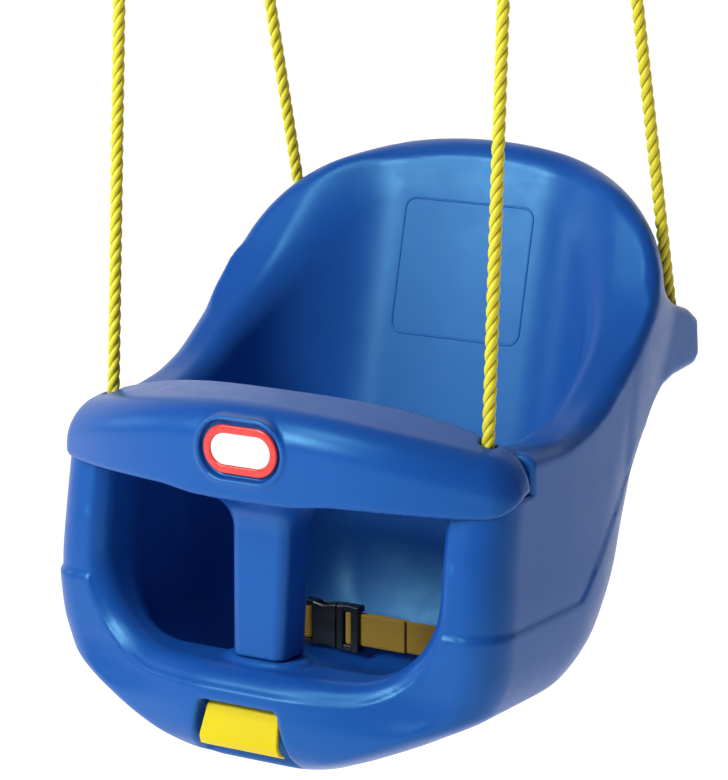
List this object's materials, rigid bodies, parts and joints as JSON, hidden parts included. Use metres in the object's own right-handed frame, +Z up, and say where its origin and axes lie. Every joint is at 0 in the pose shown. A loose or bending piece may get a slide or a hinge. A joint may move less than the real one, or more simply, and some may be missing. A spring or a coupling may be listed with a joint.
{
  "type": "bucket swing",
  "caption": "Moulded toddler bucket swing on four ropes, with a lift-up T-bar, a sprung latch under it, and a lap belt with a side-release buckle.",
  "frame": {"origin": "under the middle of the seat's box, level with the lowest point of its underside, ropes and top eyes left out", "axes": "+Z up, -Y the front where the legs come through, +X the right side seen from the front; the seat hangs level by its ropes"},
  "size_m": [0.394, 0.3834, 0.6735],
  "materials": {
    "seat_plastic": "fine-textured blue moulded polyethylene",
    "bar_plastic": "fine-textured blue moulded polyethylene",
    "rope_fibre": "three-strand twisted polypropylene rope",
    "eye_metal": "galvanised",
    "washer_metal": "zinc plated",
    "latch_plastic": "satin yellow moulded plastic",
    "steel": "plain bright wire and rod",
    "badge_red": "gloss red",
    "badge_white": "gloss white, blank",
    "webbing": "ribbed polyester webbing",
    "black_plastic": "satin black acetal"
  },
  "bodies": {
    "seat": {"seat_shell": "seat_plastic", "latch_pin": "steel", "latch_spring": "steel", "rope_front_left": "rope_fibre", "rope_front_right": "rope_fibre", "rope_rear_left": "rope_fibre", "rope_rear_right": "rope_fibre", "rope_knot_front_left": "rope_fibre", "rope_knot_front_right": "rope_fibre", "rope_knot_rear_left": "rope_fibre", "rope_knot_rear_right": "rope_fibre", "rope_washer_front_left": "washer_metal", "rope_washer_front_right": "washer_metal", "rope_washer_rear_left": "washer_metal", "rope_washer_rear_right": "washer_metal", "rope_eye_front_left": "eye_metal", "rope_eye_front_right": "eye_metal", "rope_eye_rear_left": "eye_metal", "rope_eye_rear_right": "eye_metal", "belt_left": "webbing", "belt_right": "webbing", "belt_anchor_left": "black_plastic", "belt_anchor_right": "black_plastic", "buckle_female": "black_plastic"},
    "t_bar": {"t_bar": "bar_plastic", "badge_bezel": "badge_red", "badge_plate": "badge_white"},
    "latch": {"latch_lever": "latch_plastic"},
    "buckle_male": {"buckle_male": "black_plastic", "belt_loop": "webbing"},
    "prong_upper": {"buckle_prong_upper": "black_plastic"},
    "prong_lower": {"buckle_prong_lower": "black_plastic"}
  },
  "joints": [
    {"name": "t_bar_lift", "type": "slide", "parent": "seat", "child": "t_bar", "axis": [0, 0.0506, 0.9987], "range_m": [0, 0.25]},
    {"name": "latch_release", "type": "hinge", "parent": "seat", "child": "latch", "pos_m": [0, -0.178, 0.043], "axis": [-1, 0, 0], "range_deg": [0, 26], "stiffness_Nm_per_rad": 0.03, "springref_deg": -17.19},
    {"name": "buckle_release", "type": "slide", "parent": "seat", "child": "buckle_male", "axis": [1, 0, 0], "range_m": [0, 0.03]},
    {"name": "prong_upper_squeeze", "type": "hinge", "parent": "buckle_male", "child": "prong_upper", "pos_m": [-0.0387, 0.01, 0.0638], "axis": [0, -1, 0], "range_deg": [0, 6], "stiffness_Nm_per_rad": 0.01},
    {"name": "prong_lower_squeeze", "type": "hinge", "parent": "buckle_male", "child": "prong_lower", "pos_m": [-0.0387, 0.01, 0.0462], "axis": [0, 1, 0], "range_deg": [0, 6], "stiffness_Nm_per_rad": 0.01}
  ],
  "couplings": [
    {"joint": "prong_lower_squeeze", "follows": "prong_upper_squeeze", "ratio": 1}
  ]
}
